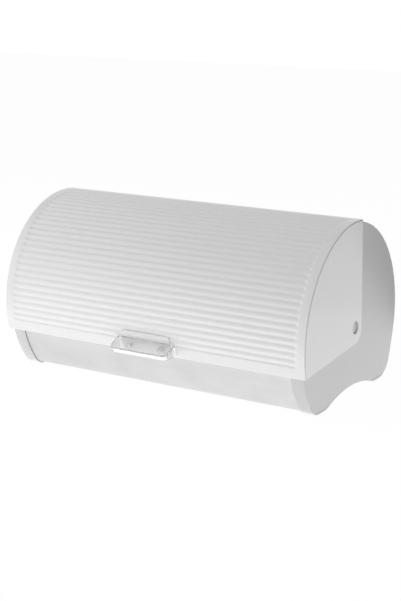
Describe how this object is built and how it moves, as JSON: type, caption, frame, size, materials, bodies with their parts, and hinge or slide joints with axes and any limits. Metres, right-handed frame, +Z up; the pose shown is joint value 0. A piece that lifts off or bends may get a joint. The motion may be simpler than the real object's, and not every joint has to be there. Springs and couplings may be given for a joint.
{
  "type": "bread box",
  "caption": "Countertop bread box: metal body between moulded end caps, with a ribbed curved lid that swings up and back and a clear handle.",
  "frame": {"origin": "on the ground, at the middle of the box's length and depth", "axes": "+X to the right as seen from the front, along the hinge axis; +Y to the rear; +Z up"},
  "size_m": [0.388, 0.2495, 0.1966],
  "materials": {
    "brushed_steel": "fine brushed, pale satin",
    "grey_plastic": "moulded, light grey, satin",
    "pad_rubber": "matt, soft",
    "screw_steel": "zinc plated",
    "pin_nylon": "moulded, satin",
    "washer_nylon": "natural nylon",
    "bumper_silicone": "translucent silicone",
    "white_enamel": "white enamel, semi-gloss",
    "white_plastic": "moulded, white, semi-gloss",
    "clear_acrylic": "clear moulded acrylic"
  },
  "bodies": {
    "body": {"body_shell": "brushed_steel", "end_cap_left": "grey_plastic", "end_cap_right": "grey_plastic", "foot_pad_front_left": "pad_rubber", "foot_pad_front_right": "pad_rubber", "foot_pad_rear_left": "pad_rubber", "foot_pad_rear_right": "pad_rubber", "shell_screw_left_1": "screw_steel", "shell_screw_left_2": "screw_steel", "shell_screw_left_3": "screw_steel", "shell_screw_left_4": "screw_steel", "shell_screw_right_1": "screw_steel", "shell_screw_right_2": "screw_steel", "shell_screw_right_3": "screw_steel", "shell_screw_right_4": "screw_steel", "pivot_pin_left": "pin_nylon", "pivot_pin_right": "pin_nylon", "pivot_washer_left": "washer_nylon", "pivot_washer_right": "washer_nylon", "pivot_clip_left": "screw_steel", "pivot_clip_right": "screw_steel", "lid_bumper_left": "bumper_silicone", "lid_bumper_right": "bumper_silicone"},
    "lid": {"lid_panel": "white_enamel", "lid_cheek_left": "white_plastic", "lid_cheek_right": "white_plastic", "lid_handle": "clear_acrylic", "handle_screw_left": "screw_steel", "handle_screw_right": "screw_steel", "handle_washer_left": "screw_steel", "handle_washer_right": "screw_steel"}
  },
  "joints": [
    {"name": "lid_hinge", "type": "hinge", "parent": "body", "child": "lid", "pos_m": [0, 0.01025, 0.0786], "axis": [-1, 0, 0], "range_deg": [0, 100]}
  ]
}
